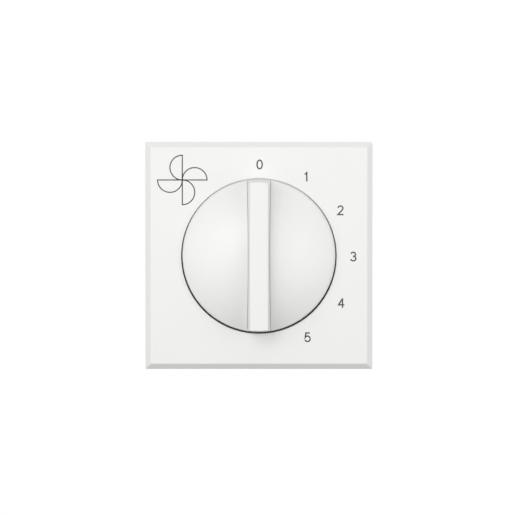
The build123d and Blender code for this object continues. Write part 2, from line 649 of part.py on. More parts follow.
def rear_cover():
    """Moulded cover with six bevelled wire entries, counterbored screw holes and a lip in the housing."""
    cover = slab(RectangleRounded(HOUSING_OUT, HOUSING_OUT, HOUSING_CORNER), Z_REAR, Z_HOUSING)
    cover = chamfer(cover.faces().sort_by(Axis.Z)[0].edges(), REAR_BEVEL)
    lip = Rectangle(HOUSING_IN - 2 * LIP_GAP, MIDDLE_HEIGHT - 2 * LIP_GAP)
    cover += slab(lip - offset(lip, -LIP_WALL, kind=Kind.INTERSECTION), Z_HOUSING, Z_HOUSING + LIP_HEIGHT)
    opening = Rectangle(ENTRY_WIDTH, ENTRY_HEIGHT)
    entry = slab(opening, Z_REAR, Z_HOUSING)
    entry += loft([Pos(0, 0, Z_REAR) * offset(opening, ENTRY_LEAD, kind=Kind.INTERSECTION),
                   Pos(0, 0, Z_REAR + ENTRY_LEAD) * opening])
    entry = Pos(0, ENTRY_Y) * entry
    for opening in for_each_terminal(entry):
        cover -= opening
    for x, y in CORNERS:
        at = (x * COVER_SCREW_AT, y * COVER_SCREW_AT)
        cover -= drum(COVER_SCREW_D / 2 + SLIP, Z_REAR, Z_HOUSING, at)
        cover -= drum(COVER_HEAD_D / 2 + SLIP, Z_REAR, Z_REAR + COVER_HEAD, at)
    return cover


def cover_screws():
    """Four screws that hold the rear cover, heads flush in their counterbores."""
    screws = []
    for x, y in CORNERS:
        at = (x * COVER_SCREW_AT, y * COVER_SCREW_AT)
        screw = drum(COVER_SCREW_D / 2, Z_REAR + COVER_HEAD, Z_HOUSING + COVER_SCREW_LENGTH - SLIP, at)
        screw += drum(COVER_HEAD_D / 2, Z_REAR, Z_REAR + COVER_HEAD, at)
        slot = Pos(*at) * Rectangle(COVER_HEAD_D + 1, SLOT_WIDTH)
        screws.append(screw - slab(slot, Z_REAR, Z_REAR + SLOT_DEPTH))
    return screws


PIECES = {
    "face_plate": face_plate,
    "knob": knob,
    "knob_clip": knob_clip,
    "bush_nut": bush_nut,
    "tooth_washer": tooth_washer,
    "spindle": spindle,
    "spindle_ring": spindle_ring,
    "index_bush": index_bush,
    "index_star": index_star,
    "index_spring": index_spring,
    "index_cover": index_cover,
    "spacers": spacers,
    "rotor": rotor,
    "wiper": wiper,
    "contact_plate": contact_plate,
    "common_contact": common_contact,
    "stack_screws": stack_screws,
    "terminal_cages": terminal_cages,
    "terminal_screws": terminal_screws,
    "housing": housing,
    "rear_cover": rear_cover,
    "cover_screws": cover_screws,
}


def save(node, made):
    """Stand a piece, or a group of like pieces, upright and write its file."""
    upright = Rot(90, 0, 0)
    if isinstance(made, list):
        standing = Compound(children=[upright * piece for piece in made])
    else:
        standing = upright * made
    export_step(standing, os.path.join("parts", node + ".step"))


os.makedirs("parts", exist_ok=True)
for node, make in PIECES.items():
    save(node, make())
for speed in range(1, STEPS + 1):
    save(f"step_contact_{speed}", step_contact(speed))
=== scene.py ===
"""Looks of a rotary fan-speed switch: a white 45 mm wall module with a domed bar knob.

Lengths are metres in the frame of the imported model: X to the right, Z up, and the front looks along -Y.
"""
import json
import logging
import math
from contextlib import contextmanager
from dataclasses import dataclass
from enum import Enum
from functools import lru_cache
from typing import Any, Callable, Iterator

import bmesh
import bpy
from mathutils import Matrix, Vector


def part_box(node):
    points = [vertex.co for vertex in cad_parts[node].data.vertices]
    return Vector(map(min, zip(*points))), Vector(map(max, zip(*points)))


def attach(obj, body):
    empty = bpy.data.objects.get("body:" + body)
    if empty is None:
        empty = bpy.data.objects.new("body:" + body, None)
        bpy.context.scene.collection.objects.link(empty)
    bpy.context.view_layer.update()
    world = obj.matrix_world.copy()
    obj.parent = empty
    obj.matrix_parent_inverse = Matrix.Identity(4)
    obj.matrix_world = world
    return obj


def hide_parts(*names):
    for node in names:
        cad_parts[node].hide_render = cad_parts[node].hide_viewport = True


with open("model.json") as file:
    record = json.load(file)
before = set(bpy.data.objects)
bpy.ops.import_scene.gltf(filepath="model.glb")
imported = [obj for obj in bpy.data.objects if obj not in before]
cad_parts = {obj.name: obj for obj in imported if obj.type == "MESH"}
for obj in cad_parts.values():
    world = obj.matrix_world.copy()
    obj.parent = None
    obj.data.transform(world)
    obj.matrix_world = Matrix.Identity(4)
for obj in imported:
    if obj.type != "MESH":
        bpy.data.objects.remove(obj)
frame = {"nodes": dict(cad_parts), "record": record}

log = logging.getLogger("rotary_switch")

MM = 0.001
SMOOTH_ANGLE = math.radians(35)
FLAT_ANGLE = math.radians(0.5)
FRONT_FACING = 0.9
ARC_STEP = 10
ROUND_SIDES = 96
WELD = 0.001 * MM
WHITE = (1.0, 1.0, 1.0, 1.0)
PATCH_DETAIL = 3.0
GRAIN_DETAIL = 2.0

# Sockets of a Mix node that mixes colours, which share their names with those of its other kinds
MIX_FACTOR = 0
MIX_FIRST = 6
MIX_SECOND = 7
MIX_RESULT = 2

Point = tuple[float, float]


class Body(Enum):
    """Bodies of the switch that a piece can move with."""

    FIXED = "body"
    TURNING = "turning"


class Slot(Enum):
    """Material slots of the record."""

    WHITE = "white_moulding"
    GREY = "grey_moulding"
    BLACK = "black_moulding"
    LAMINATE = "laminate"
    PLATED = "plated_steel"
    SPRING = "spring_steel"
    CAST = "die_casting"
    BRASS = "brass"
    BRONZE = "contact_bronze"


# Hand tools


def place(right: float, up: float, out: float) -> Vector:
    """A point by its distances to the right, up and out of the wall."""
    return Vector((right, -out, up))


def activate(piece: bpy.types.Object) -> None:
    """Make one object the only selected one, and the active one.

    Args:
        piece: the object.
    """
    bpy.ops.object.select_all(action="DESELECT")
    piece.select_set(True)
    bpy.context.view_layer.objects.active = piece


@contextmanager
def editing(piece: bpy.types.Object) -> Iterator[None]:
    """Edit mode on one object, with nothing of it selected at the start.

    Args:
        piece: the object to edit.
    """
    activate(piece)
    bpy.ops.object.mode_set(mode="EDIT")
    bpy.ops.mesh.select_mode(type="VERT")
    bpy.ops.mesh.select_all(action="DESELECT")
    yield
    bpy.ops.object.mode_set(mode="OBJECT")


def select_faces(piece: bpy.types.Object, test: Callable[[bmesh.types.BMFace], bool]) -> None:
    """Select the faces of the object in edit mode that pass a test.

    Args:
        piece: the object in edit mode.
        test: says whether a face is wanted.
    """
    bpy.ops.mesh.select_mode(type="FACE")
    mesh = bmesh.from_edit_mesh(piece.data)
    for face in mesh.faces:
        face.select_set(test(face))
    bmesh.update_edit_mesh(piece.data)


def settle(piece: bpy.types.Object) -> None:
    """Put the object's place, turn and scale into its mesh."""
    activate(piece)
    bpy.ops.object.transform_apply(location=True, rotation=True, scale=True)


def carve(piece: bpy.types.Object, tool: bpy.types.Object, operation: str = "DIFFERENCE") -> None:
    """Cut one closed shape out of another or melt it in, which uses the second one up.

    Args:
        piece: the object that is changed.
        tool: the closed shape that is taken away or added.
        operation: Blender's name of what is done.
    """
    cut = piece.modifiers.new("cut", "BOOLEAN")
    cut.operation = operation
    cut.solver = "EXACT"
    cut.object = tool
    activate(piece)
    bpy.ops.object.modifier_apply(modifier=cut.name)
    bpy.data.objects.remove(tool)


def close_mesh(piece: bpy.types.Object) -> None:
    """Weld doubles and turn the faces outwards.

    Args:
        piece: the object.
    """
    with editing(piece):
        bpy.ops.mesh.select_all(action="SELECT")
        bpy.ops.mesh.remove_doubles(threshold=WELD)
        bpy.ops.mesh.normals_make_consistent(inside=False)


def smooth(piece: bpy.types.Object) -> None:
    """Close the mesh and shade roundings softly, with the large faces kept flat.

    Args:
        piece: the object.
    """
    close_mesh(piece)
    activate(piece)
    bpy.ops.object.shade_smooth_by_angle(angle=SMOOTH_ANGLE)
    flat = piece.modifiers.new("flat", "WEIGHTED_NORMAL")
    flat.keep_sharp = True
    bpy.ops.object.modifier_apply(modifier=flat.name)


def cylinder(radius: float, low: float, high: float) -> bpy.types.Object:
    """A cylinder along the spindle, as a cutting shape.

    Args:
        radius: its radius.
        low: how far out of the wall it starts.
        high: how far out of the wall it ends.

    Returns:
        The new object.
    """
    bpy.ops.mesh.primitive_cylinder_add(
        vertices=ROUND_SIDES, radius=radius, depth=high - low,
        location=place(0, 0, (low + high) / 2), rotation=(math.pi / 2, 0, 0))
    piece = bpy.context.object
    settle(piece)
    return piece


def bar_block(width: float, height: float, low: float, high: float) -> bpy.types.Object:
    """A block about the spindle, as a cutting shape.

    Args:
        width: size to the right.
        height: size upwards.
        low: how far out of the wall it starts.
        high: how far out of the wall it ends.

    Returns:
        The new object.
    """
    bpy.ops.mesh.primitive_cube_add(
        size=1, location=place(0, 0, (low + high) / 2), scale=(width, high - low, height))
    piece = bpy.context.object
    settle(piece)
    return piece


def weld_copy(node: str, name: str) -> bpy.types.Object:
    """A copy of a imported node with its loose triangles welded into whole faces.

    Args:
        node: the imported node.
        name: name of the copy.

    Returns:
        The new object.
    """
    source = frame["nodes"][node]
    piece = bpy.data.objects.new(name, source.data.copy())
    bpy.context.scene.collection.objects.link(piece)
    with editing(piece):
        bpy.ops.mesh.select_all(action="SELECT")
        bpy.ops.mesh.remove_doubles(threshold=WELD)
        bpy.ops.mesh.dissolve_limited(angle_limit=FLAT_ANGLE)
    return piece


def soften(piece: bpy.types.Object, width: float, steps: int = 2) -> None:
    """Round the sharp edges of a moulded or turned piece.

    Args:
        piece: the object.
        width: width of the rounding.
        steps: faces across the rounding.
    """
    bevel = piece.modifiers.new("edges", "BEVEL")
    bevel.width = width
    bevel.segments = steps
    bevel.limit_method = "ANGLE"
    bevel.angle_limit = SMOOTH_ANGLE
    bevel.use_clamp_overlap = False
    activate(piece)
    bpy.ops.object.modifier_apply(modifier=bevel.name)


def bow(middle: Point, reach: Point, start: float, end: float) -> list[Point]:
    """Points along the arc of an ellipse.

    Args:
        middle: its middle, to the right and up.
        reach: its half width and half height.
        start: angle of the first point in degrees, counter-clockwise from the right.
        end: angle of the last point.

    Returns:
        The points, about ten degrees apart.
    """
    steps = math.ceil(abs(end - start) / ARC_STEP)
    turns = [math.radians(start + (end - start) * step / steps) for step in range(steps + 1)]
    right, up = middle
    wide, high = reach
    return [(right + wide * math.cos(turn), up + high * math.sin(turn)) for turn in turns]


# Strokes of the plain upright figures, with the middle line 2 high and 1.2 wide about the origin
FIGURE_STROKES = {
    "0": [bow((0, 0), (0.6, 1.0), 0, 360)],
    "1": [[(0.14, -1.12), (0.14, 1.12)], bow((-0.36, 1.05), (0.5, 0.5), 0, -90)],
    "2": [bow((0, 0.44), (0.56, 0.56), 170, -32) + [(-0.58, -1.0), (0.7, -1.0)]],
    "3": [bow((0, 0.49), (0.5, 0.51), 165, -95), bow((0, -0.47), (0.6, 0.53), 97, -165)],
    "4": [[(0.3, -1.12), (0.3, 1.12)], [(0.3, 0.98), (-0.62, -0.42), (0.72, -0.42)]],
    "5": [[(0.52, 1.0), (-0.36, 1.0), (-0.52, -0.02)] + bow((0, -0.36), (0.6, 0.64), 135, -160)],
    "L": [[(-0.5, 1.12), (-0.5, -1.0), (0.62, -1.0)]],
}


def stroke(points: list[Point], line: float, thickness: float) -> bpy.types.Object:
    """A bent line as a flat closed strip in the plane of the front.

    Args:
        points: its middle line, to the right and up, closed where the last point is the first.
        line: width of the strip.
        thickness: from its back to its front.

    Returns:
        The new object, with its back in the plane through the origin.
    """
    mesh = bpy.data.meshes.new("stroke")
    runs = [(count, count + 1) for count in range(len(points) - 1)]
    mesh.from_pydata([place(right, up, 0) for right, up in points], runs, [])
    piece = bpy.data.objects.new("stroke", mesh)
    bpy.context.scene.collection.objects.link(piece)
    with editing(piece):
        bpy.ops.mesh.select_all(action="SELECT")
        bpy.ops.mesh.remove_doubles(threshold=WELD)
        bpy.ops.mesh.extrude_region_move(TRANSFORM_OT_translate={"value": place(0, 0, thickness)})
        bpy.ops.mesh.select_all(action="SELECT")
        bpy.ops.mesh.normals_make_consistent(inside=False)
    widen = piece.modifiers.new("widen", "SOLIDIFY")
    widen.thickness = line
    widen.offset = 0.0
    widen.use_even_offset = True
    activate(piece)
    bpy.ops.object.modifier_apply(modifier=widen.name)
    close_mesh(piece)
    return piece


def figure(sign: str, height: float, line: float, thickness: float) -> bpy.types.Object:
    """An upright figure or letter, flat in the plane of the front and about the origin.

    Args:
        sign: the figure or letter.
        height: its whole height.
        line: width of its strokes.
        thickness: from its back to its front.

    Returns:
        The new object.
    """
    scale = (height - line) / 2
    made = [stroke([(right * scale, up * scale) for right, up in points], line, thickness)
            for points in FIGURE_STROKES[sign]]
    for extra in made[1:]:
        carve(made[0], extra, "UNION")
    made[0].name = "figure_" + sign
    return made[0]


def join(pieces: list[bpy.types.Object], name: str) -> bpy.types.Object:
    """Join objects into one.

    Args:
        pieces: the objects.
        name: name of the joined object.

    Returns:
        The joined object.
    """
    activate(pieces[0])
    for piece in pieces:
        piece.select_set(True)
    bpy.ops.object.join()
    pieces[0].name = name
    return pieces[0]


# Finishes


def linear(hex_colour: str) -> tuple[float, float, float, float]:
    """An sRGB hex colour as linear values.

    Args:
        hex_colour: six hex digits after a hash sign.

    Returns:
        Linear red, green, blue and full alpha.
    """
    values = [int(hex_colour[i:i + 2], 16) / 255 for i in (1, 3, 5)]
    red, green, blue = [v / 12.92 if v <= 0.04045 else ((v + 0.055) / 1.055) ** 2.4 for v in values]
    return red, green, blue, 1.0


def add_node(tree: bpy.types.NodeTree, kind: str, inputs: dict[Any, Any] | None = None,
             **settings: Any) -> bpy.types.Node:
    """Add a shader node with its settings, values and links.

    Args:
        tree: the tree that gets the node.
        kind: Blender's name of the node type.
        inputs: by socket name or number, a value or the output socket to link.
        settings: attributes of the node.

    Returns:
        The new node.
    """
    node = tree.nodes.new(kind)
    for key, value in settings.items():
        setattr(node, key, value)
    for key, value in (inputs or {}).items():
        if isinstance(value, bpy.types.NodeSocket):
            tree.links.new(value, node.inputs[key])
        else:
            node.inputs[key].default_value = value
    return node


@dataclass(frozen=True)
class Finish:
    """A surface: its colour, how far the colour strays, its gloss and the grain that its making left."""

    name: str
    slot: Slot
    colour: str
    shade: str
    rough: float
    rough_stray: float
    patch: float
    grain: float
    grain_depth: float
    metallic: float = 0.0
    ior: float = 1.5
    stretch: tuple[float, float, float] = (1.0, 1.0, 1.0)

    def material(self) -> bpy.types.Material:
        """The finish as a material, made once."""
        return make_material(self)


@lru_cache(maxsize=None)
def make_material(finish: Finish) -> bpy.types.Material:
    """Build the node tree of a finish.

    Args:
        finish: the finish to build.

    Returns:
        The material.
    """
    material = bpy.data.materials.new(finish.name)
    material.use_nodes = True
    tree = material.node_tree
    tree.nodes.clear()
    where = add_node(tree, "ShaderNodeTexCoord").outputs["Object"]
    mapping = add_node(tree, "ShaderNodeMapping", {"Vector": where, "Scale": finish.stretch})
    along = mapping.outputs["Vector"]
    patch = add_node(tree, "ShaderNodeTexNoise", {
        "Vector": along, "Scale": 1 / finish.patch, "Detail": PATCH_DETAIL})
    grain = add_node(tree, "ShaderNodeTexNoise", {
        "Vector": along, "Scale": 1 / finish.grain, "Detail": GRAIN_DETAIL})
    colour = add_node(tree, "ShaderNodeMix", {
        MIX_FACTOR: patch.outputs["Fac"],
        MIX_FIRST: linear(finish.colour),
        MIX_SECOND: linear(finish.shade)}, data_type="RGBA")
    rough = add_node(tree, "ShaderNodeMapRange", {
        "Value": patch.outputs["Fac"],
        "To Min": finish.rough - finish.rough_stray,
        "To Max": finish.rough + finish.rough_stray})
    bump = add_node(tree, "ShaderNodeBump", {
        "Height": grain.outputs["Fac"], "Strength": 1.0, "Distance": finish.grain_depth})
    shader = add_node(tree, "ShaderNodeBsdfPrincipled", {
        "Base Color": colour.outputs[MIX_RESULT],
        "Roughness": rough.outputs["Result"],
        "Normal": bump.outputs["Normal"],
        "Metallic": finish.metallic,
        "IOR": finish.ior})
    add_node(tree, "ShaderNodeOutputMaterial", {"Surface": shader.outputs["BSDF"]})
    return material


# ABS-polycarbonate moulded in a polished tool: an even white with a soft gloss and the faintest flow marks.
WHITE_MOULDING = Finish(
    "moulded_white_polycarbonate", Slot.WHITE, "#F2F2F0", "#F0F0EE", 0.36, 0.03,
    patch=9 * MM, grain=0.25 * MM, grain_depth=0.0006 * MM, ior=1.49)
# Glass-filled polyamide from a spark-eroded tool: pale grey, matt, with a fine sandy grain.
GREY_MOULDING = Finish(
    "moulded_grey_polyamide", Slot.GREY, "#CFD0CC", "#C6C7C3", 0.62, 0.05,
    patch=6 * MM, grain=0.3 * MM, grain_depth=0.012 * MM, ior=1.53)
# Black acetal of the inner turning parts: dense, slightly waxy.
BLACK_MOULDING = Finish(
    "moulded_black_acetal", Slot.BLACK, "#1B1B1C", "#232325", 0.42, 0.05,
    patch=4 * MM, grain=0.3 * MM, grain_depth=0.004 * MM, ior=1.48)
# Phenolic paper board: brown, with fibres that run along the sheet.
LAMINATE = Finish(
    "phenolic_paper_board", Slot.LAMINATE, "#8A5A34", "#6E4526", 0.5, 0.06,
    patch=1.6 * MM, grain=0.4 * MM, grain_depth=0.006 * MM, stretch=(0.3, 1.0, 1.0))
# Zinc-plated steel: bright grey with a soft bloom.
PLATED_STEEL = Finish(
    "zinc_plated_steel", Slot.PLATED, "#C9CACB", "#B9BBBE", 0.32, 0.06,
    patch=2.5 * MM, grain=0.15 * MM, grain_depth=0.002 * MM, metallic=1.0)
# Rolled spring steel: darker, with the long marks of the rolls.
SPRING_STEEL = Finish(
    "rolled_spring_steel", Slot.SPRING, "#9A9DA2", "#868A90", 0.34, 0.08,
    patch=1.2 * MM, grain=0.2 * MM, grain_depth=0.002 * MM, metallic=1.0, stretch=(0.15, 1.0, 1.0))
# Zinc die casting as it leaves the die: dull, cloudy grey.
DIE_CASTING = Finish(
    "zinc_die_casting", Slot.CAST, "#B4B6B8", "#9C9FA2", 0.48, 0.08,
    patch=3 * MM, grain=0.35 * MM, grain_depth=0.01 * MM, metallic=1.0)
# Stamped brass strip: yellow with a light tarnish.
BRASS = Finish(
    "stamped_brass", Slot.BRASS, "#D8B56A", "#C39C52", 0.3, 0.07,
    patch=2.2 * MM, grain=0.2 * MM, grain_depth=0.002 * MM, metallic=1.0)
# Phosphor bronze strip of the wiper: redder than the brass.
BRONZE = Finish(
    "phosphor_bronze_strip", Slot.BRONZE, "#C98F5C", "#B47A49", 0.3, 0.06,
    patch=1.5 * MM, grain=0.2 * MM, grain_depth=0.002 * MM, metallic=1.0, stretch=(0.2, 1.0, 1.0))
# Pad-print ink: dark grey, thin and slightly uneven.
PRINT_INK = Finish(
    "pad_print_ink", Slot.BLACK, "#3A3A3C", "#444446", 0.5, 0.05,
    patch=0.6 * MM, grain=0.1 * MM, grain_depth=0.0008 * MM)


def dress(piece: bpy.types.Object, finish: Finish) -> None:
    """Give an object one finish all over.

    Args:
        piece: the object.
        finish: its finish.
    """
    piece.data.materials.clear()
    piece.data.materials.append(finish.material())


def hand_over(piece: bpy.types.Object, finish: Finish, body: Body, *nodes: str) -> None:
    """Dress a finished piece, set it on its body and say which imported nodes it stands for.

    Args:
        piece: the finished piece.
        finish: its finish.
        body: what it moves with.
        nodes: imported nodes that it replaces.
    """
    dress(piece, finish)
    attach(piece, body.value)
    if nodes:
        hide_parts(*nodes)
    log.info("%s: %d faces on %s", piece.name, len(piece.data.polygons), body.value)


# Sub-assemblies


@dataclass
class Knob:
    """White domed knob with a finger bar right across it."""

    skirt_radius: float
    skirt: float
    face: float
    top: float
    rim_height: float = 1.2 * MM
    flank_lean: float = 0.3 * MM
    flank_depth: float = 0.15 * MM
    # The skirt sits high in its well, so that the running gap is pale above and dark below.
    skirt_slack: float = 0.1 * MM
    skirt_up: float = 0.1 * MM
    dome_rise: float = 4.0 * MM
    bar_width: float = 3.84 * MM
    bar_draft: float = math.radians(3)
    bar_top: float = 3.5 * MM
    bar_slope: float = 1.2 * MM
    bar_round: float = 0.1 * MM
    end_round: float = 0.3 * MM
    # A crease along the foot of the bar gives the fine dark line on each of its sides.
    crease_width: float = 0.075 * MM
    crease_depth: float = 0.5 * MM
    crease_fade: float = 0.4 * MM
    rim_round: float = 0.4 * MM
    wall: float = 1.6 * MM
    rib: float = 1.0 * MM
    hub_radius: float = 5.0 * MM
    hub_low: float = 6.6 * MM
    bore_radius: float = 3.04 * MM
    bore_flat: float = 1.58 * MM
    foot_tries: int = 4
    stations: int = 144
    top_steps: int = 3
    round_steps: int = 5
    side_steps: int = 3
    dome_steps: int = 14
    rim_steps: int = 5
    hollow_rings: int = 4

    @classmethod
    def from_frame(cls) -> "Knob":
        """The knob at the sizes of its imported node.

        Returns:
            The knob.
        """
        low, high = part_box("knob")
        plate_low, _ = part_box("face_plate")
        return cls(skirt_radius=(high.x - low.x) / 2, skirt=-high.y, face=-plate_low.y, top=-low.y)

    @property
    def rim(self) -> float:
        """How far out of the wall the rim of the dome is."""
        return self.face + self.rim_height

    @property
    def apex(self) -> float:
        """How far out of the wall the middle of the dome is."""
        return self.rim + self.dome_rise

    @property
    def rim_radius(self) -> float:
        """Radius of the rim, where the flank would meet the dome if it weren't rounded."""
        return self.skirt_radius - self.flank_lean

    @property
    def radius(self) -> float:
        """Radius at which the rounding of the rim ends on the leaning flank."""
        lean = self.flank_lean * self.rim_round / (self.flank_depth + self.rim_height)
        return self.rim_radius + lean

    def dome_out(self, right: float, up: float) -> float:
        """How far out of the wall the dome is at a point.

        Args:
            right: distance to the right of the spindle.
            up: distance above the spindle.

        Returns:
            The distance out of the wall.
        """
        sphere = (self.rim_radius**2 + self.dome_rise**2) / (2 * self.dome_rise)
        return self.apex - sphere + math.sqrt(sphere**2 - right**2 - up**2)

    def bar_half(self, out: float) -> float:
        """Half of the bar's width at a distance out of the wall."""
        return self.bar_width / 2 + (self.top - out) * math.tan(self.bar_draft)

    def end_at(self, right: float, out: float) -> float:
        """How far up the bar's end is.

        Args:
            right: distance to the right of the bar's middle.
            out: distance out of the wall.

        Returns:
            The distance above the spindle.
        """
        top_radius = self.rim_radius - (self.top - self.rim) * math.tan(self.bar_draft)
        foot = self.dome_out(self.radius, 0)
        share = max(0.0, out - foot) / (self.top - foot)
        reach = self.radius + (top_radius - self.radius) * share
        return math.sqrt(reach**2 - right**2)

    def foot_reach(self, share: float) -> Point:
        """Where the crease at the bar's foot ends on the dome.

        Args:
            share: place along the bar, from -1 at its lower end to 1 at its upper end.

        Returns:
            Distance to the right and distance out of the wall.
        """
        right, out = self.bar_half(self.rim), self.rim
        for _ in range(self.foot_tries):
            out = self.dome_out(right, share * math.sqrt(self.radius**2 - right**2))
            right = self.bar_half(out) + self.crease_width
        return right, out

    def half_section(self, turn: float, last_turn: float) -> list[Vector]:
        """Right half of a section across the knob, from the middle of the bar to the rim.

        Args:
            turn: angle of the section's rim point above the horizontal.
            last_turn: angle at which the bar's end meets the rim.

        Returns:
            The points of the section.
        """
        share = math.sin(turn) / math.sin(last_turn)
        points = [self.top_point(right, drop, share) for right, drop in self.top_profile()]
        foot, foot_out = self.foot_reach(share)
        upper = -points[-1].y
        levels = [upper + (foot_out - upper) * k / self.side_steps for k in range(1, self.side_steps + 1)]
        section = [(self.bar_half(level), level) for level in levels]
        side = section[-1][0]
        fade = min(1.0, (1 - abs(share)) * self.radius / self.crease_fade)
        bottom = foot_out - self.crease_depth * fade
        section += [(side, bottom), (foot, bottom), (foot, foot_out)]
        points += [place(right, share * self.end_at(right, out), out) for right, out in section]
        return points + self.dome_points(foot, share, turn)

    def top_profile(self) -> list[Point]:
        """Right half of the bar's top across the bar: flat, a rounded arris and a steep slope.

        Returns:
            Distance to the right and drop below the bar's top, point by point.
        """
        slope_foot = self.bar_half(self.top - self.bar_slope)
        angle = math.atan2(self.bar_slope, slope_foot - self.bar_top / 2)
        flat = self.bar_top / 2 - self.bar_round * math.tan(angle / 2)
        profile = [(flat * k / self.top_steps, 0.0) for k in range(self.top_steps + 1)]
        for k in range(1, self.round_steps + 1):
            turn = angle * k / self.round_steps
            profile.append((flat + self.bar_round * math.sin(turn), self.bar_round * (1 - math.cos(turn))))
        return profile + [(slope_foot, self.bar_slope)]

    def top_point(self, right: float, drop: float, share: float) -> Vector:
        """A point on the bar's top, which is rounded at its ends.

        Args:
            right: distance to the right of the bar's middle.
            drop: distance below the flat of the top, away from the ends.
            share: place along the bar, from -1 to 1.

        Returns:
            The point.
        """
        end = self.end_at(right, self.top - max(drop, self.end_round))
        over_end = max(0.0, self.end_round - (1 - abs(share)) * end)
        end_drop = self.end_round - math.sqrt(self.end_round**2 - over_end**2)
        return place(right, share * end, self.top - max(drop, end_drop))

    def dome_points(self, foot: float, share: float, turn: float) -> list[Vector]:
        """The dome's part of a section, with the rounded rim.

        Args:
            foot: how far to the right the bar's foot ends.
            share: place along the bar, from -1 to 1.
            turn: angle of the rim point above the horizontal.

        Returns:
            The points from the foot to the rim.
        """
        start = Vector((foot, share * math.sqrt(self.radius**2 - foot**2)))
        end = Vector((self.radius * math.cos(turn), self.radius * math.sin(turn)))
        run = end - start
        edge = min(self.rim_round, run.length / 2)
        inner = end - run.normalized() * edge if run.length > WELD else end
        points = []
        for k in range(1, self.dome_steps + 1):
            spot = start.lerp(inner, k / self.dome_steps)
            points.append(place(spot.x, spot.y, self.dome_out(spot.x, spot.y)))
        for k in range(1, self.rim_steps + 1):
            angle = math.pi / 2 * k / self.rim_steps
            spot = inner.lerp(end, math.sin(angle))
            drop = edge * (1 - math.cos(angle))
            points.append(place(spot.x, spot.y, self.dome_out(spot.x, spot.y) - drop))
        return points

    def outside(self) -> bpy.types.Object:
        """The closed outside: a grid drawn out over dome and bar, then extruded down to the skirt.

        Returns:
            The new object.
        """
        last_turn = math.acos(self.foot_reach(1.0)[0] / self.radius)
        sections = [self.half_section(last_turn * (2 * row / self.stations - 1), last_turn)
                    for row in range(self.stations + 1)]
        columns = len(sections[0]) - 1
        bpy.ops.mesh.primitive_grid_add(x_subdivisions=2 * columns, y_subdivisions=self.stations, size=2)
        piece = bpy.context.object
        piece.name = "knob_moulding"
        for vertex in piece.data.vertices:
            row = round((vertex.co.y + 1) / 2 * self.stations)
            column = round(vertex.co.x * columns)
            spot = sections[row][abs(column)].copy()
            if column < 0:
                spot.x = -spot.x
            vertex.co = spot
        with editing(piece):
            bpy.ops.mesh.select_all(action="SELECT")
            bpy.ops.mesh.remove_doubles(threshold=WELD)
            bpy.ops.mesh.select_all(action="DESELECT")
            bpy.ops.mesh.select_non_manifold(
                use_wire=False, use_multi_face=False, use_non_contiguous=False, use_verts=False)
            self.draw_edge(piece, self.radius, 0.0, self.dome_out(self.radius, 0) - self.rim_round)
            flank_foot = self.face - self.flank_depth
            self.draw_edge(piece, self.skirt_radius - self.skirt_slack, self.skirt_up, flank_foot)
            bpy.ops.mesh.extrude_region_move(
                TRANSFORM_OT_translate={"value": place(0, 0, self.skirt - flank_foot)})
            bpy.ops.mesh.edge_face_add()
        return piece

    def draw_edge(self, piece: bpy.types.Object, radius: float, up: float, out: float) -> None:
        """Extrude the selected edge to a circle round the spindle.

        Args:
            piece: the object in edit mode.
            radius: radius of the circle.
            up: how far above the spindle its middle is.
            out: how far out of the wall the circle is.
        """
        bpy.ops.mesh.extrude_region_move()
        mesh = bmesh.from_edit_mesh(piece.data)
        for vertex in mesh.verts:
            if vertex.select:
                turn = math.atan2(vertex.co.z, vertex.co.x)
                vertex.co = place(radius * math.cos(turn), up + radius * math.sin(turn), out)
        bmesh.update_edit_mesh(piece.data)

    def hollow(self) -> bpy.types.Object:
        """The space under the dome, with slots where the hub and the ribs stand.

        Returns:
            The cutting shape.
        """
        ceiling = self.rim - self.wall
        space = cylinder(self.skirt_radius - self.wall, self.skirt - self.wall, ceiling)
        shares = [1 - ring / self.hollow_rings for ring in range(self.hollow_rings)]
        with editing(space):
            select_faces(space, lambda face: face.normal.y < -FRONT_FACING)
            for wide, narrow in zip(shares, shares[1:]):
                bpy.ops.mesh.extrude_region_move()
                bpy.ops.transform.translate(value=place(0, 0, self.dome_rise * (wide**2 - narrow**2)))
                shrink = narrow / wide
                bpy.ops.transform.resize(value=(shrink, 1, shrink), center_override=place(0, 0, ceiling))
        high = self.apex + self.wall
        across = 3 * self.skirt_radius
        carve(space, cylinder(self.hub_radius, self.hub_low, high))
        carve(space, bar_block(across, self.rib, self.hub_low, high))
        carve(space, bar_block(self.rib, across, self.hub_low, high))
        return space

    def bore(self) -> bpy.types.Object:
        """The D bore for the spindle's end.

        Returns:
            The cutting shape.
        """
        bore = cylinder(self.bore_radius, self.skirt, self.apex - self.wall)
        with editing(bore):
            bpy.ops.mesh.select_all(action="SELECT")
            bpy.ops.mesh.bisect(
                plane_co=(0, 0, self.bore_flat), plane_no=(0, 0, 1), use_fill=True, clear_outer=True,
                threshold=WELD)
        return bore

    def build(self) -> None:
        """Model the knob and set it on the turning body."""
        piece = self.outside()
        close_mesh(piece)
        carve(piece, self.hollow())
        carve(piece, self.bore())
        smooth(piece)
        hand_over(piece, WHITE_MOULDING, Body.TURNING, "knob")


